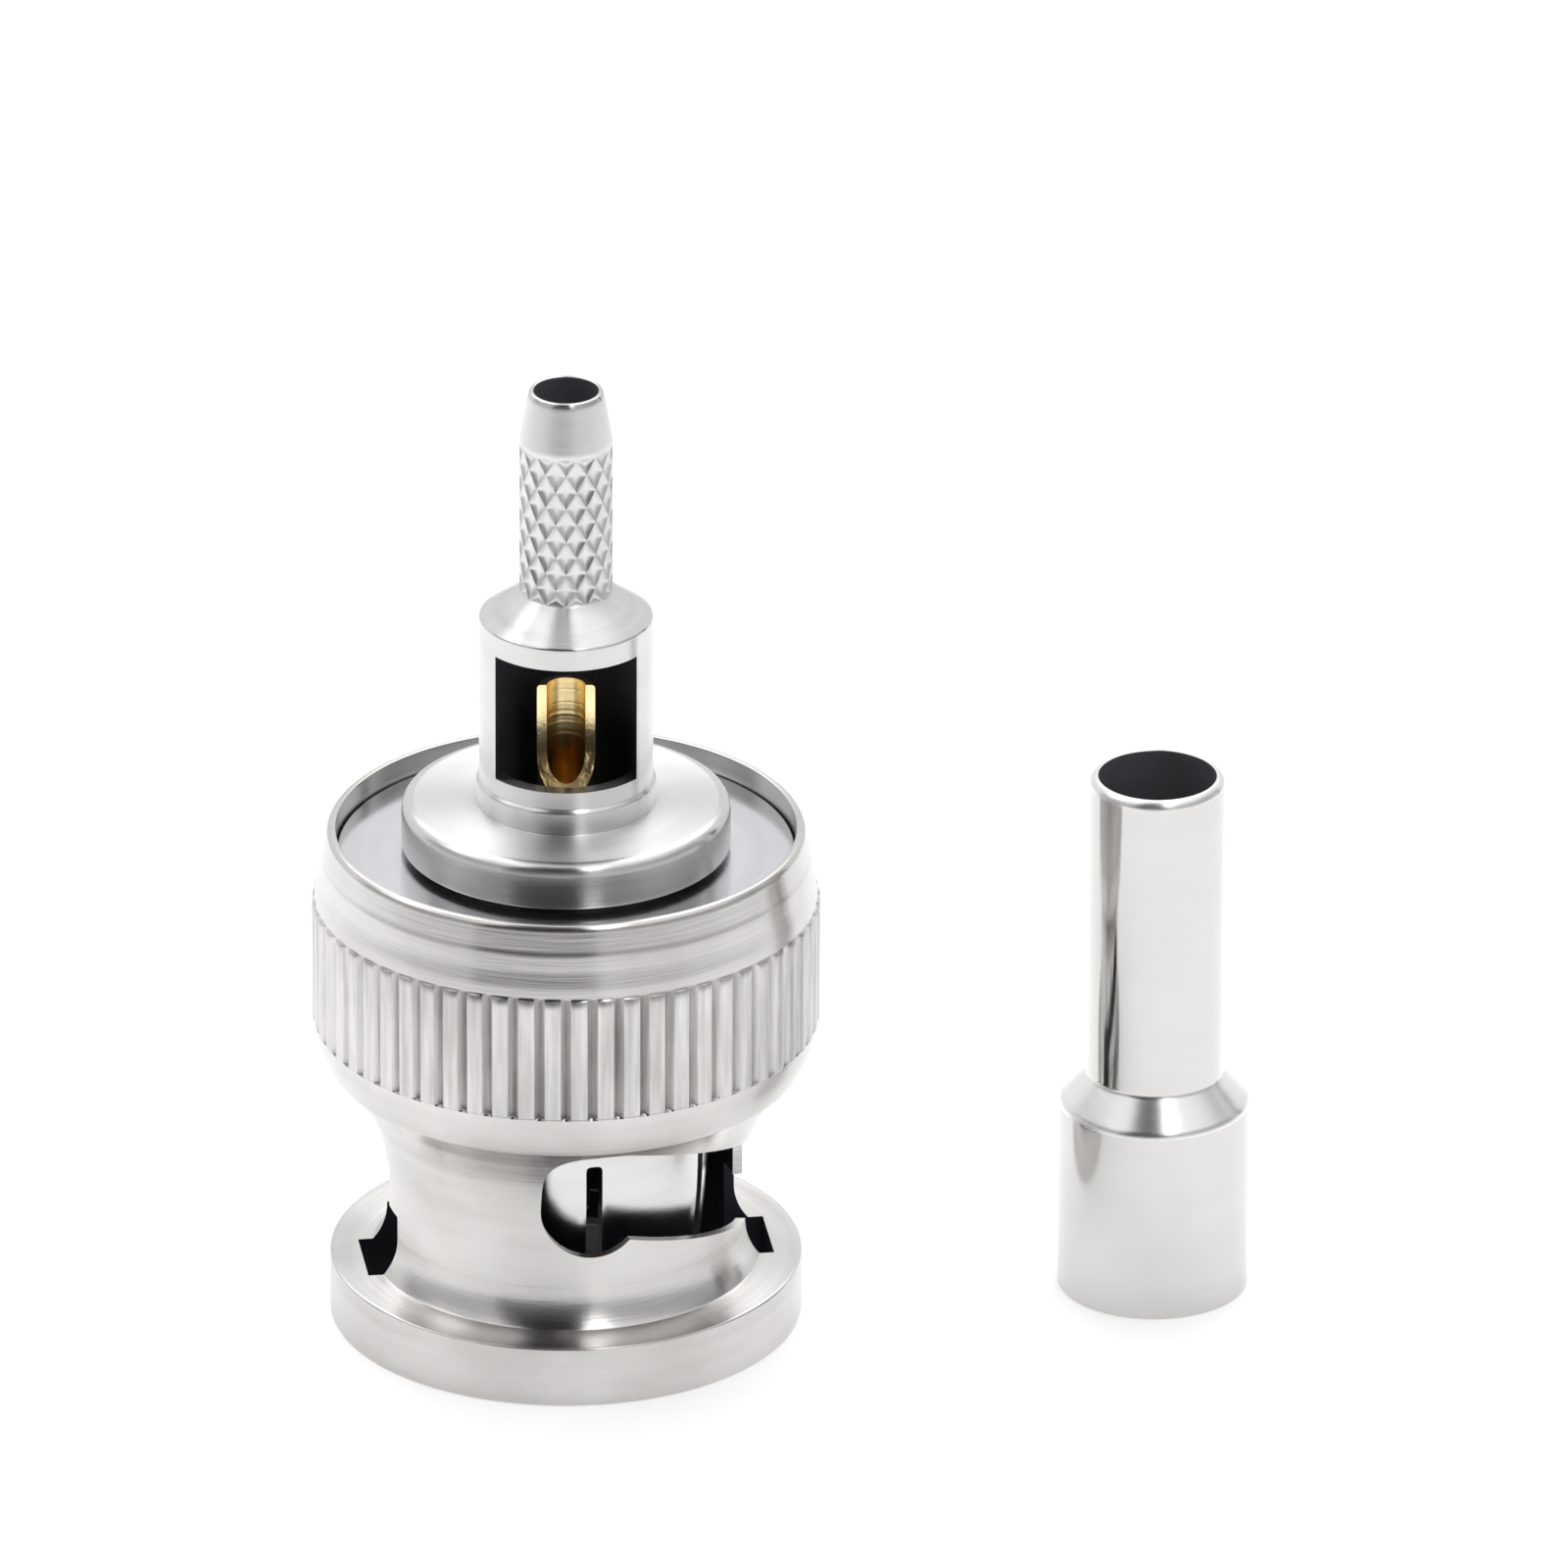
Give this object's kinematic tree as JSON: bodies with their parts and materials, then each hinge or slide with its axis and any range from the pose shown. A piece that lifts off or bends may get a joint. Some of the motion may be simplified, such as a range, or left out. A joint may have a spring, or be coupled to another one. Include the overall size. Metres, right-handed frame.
{
  "type": "bayonet coaxial plug",
  "caption": "Crimp-on bayonet coaxial plug with a knurled turning nut, a solder window and a separate stepped crimp ferrule.",
  "frame": {"origin": "on the plug's axis, in the plane of the coupling nut's front face, where the receptacle goes in", "axes": "+Z along the plug's axis towards the cable end, -Y is the side that the solder window looks to, +X towards the ferrule"},
  "size_m": [0.0267, 0.0144, 0.0286],
  "materials": {
    "nickel_satin": "satin nickel plate with fine turning marks",
    "nickel_polished": "polished nickel plate",
    "steel_plain": "flat ground",
    "steel_spring": "spring temper",
    "silicone": "matte silicone",
    "dielectric_white": "waxy white",
    "gold_plate": "gold plate over brass"
  },
  "bodies": {
    "plug": {"crimp_body": "nickel_satin", "outer_contact": "nickel_polished", "insulator": "dielectric_white", "centre_contact": "gold_plate", "gasket": "silicone", "spring_washer_front": "steel_spring", "spring_washer_rear": "steel_spring", "ferrule": "nickel_polished"},
    "spring_carriage": {"thrust_washer": "steel_plain"},
    "nut": {"coupling_nut": "nickel_satin", "retaining_washer": "nickel_polished"}
  },
  "joints": [
    {"name": "nut_slide", "type": "slide", "parent": "plug", "child": "spring_carriage", "axis": [0, 0, 1], "range_m": [-0.0008, 0], "stiffness_N_per_m": 2000, "deforming": ["spring_washer_front", "spring_washer_rear"]},
    {"name": "nut_turn", "type": "hinge", "parent": "spring_carriage", "child": "nut", "pos_m": [0, 0, 0], "axis": [0, 0, 1], "continuous": true}
  ]
}
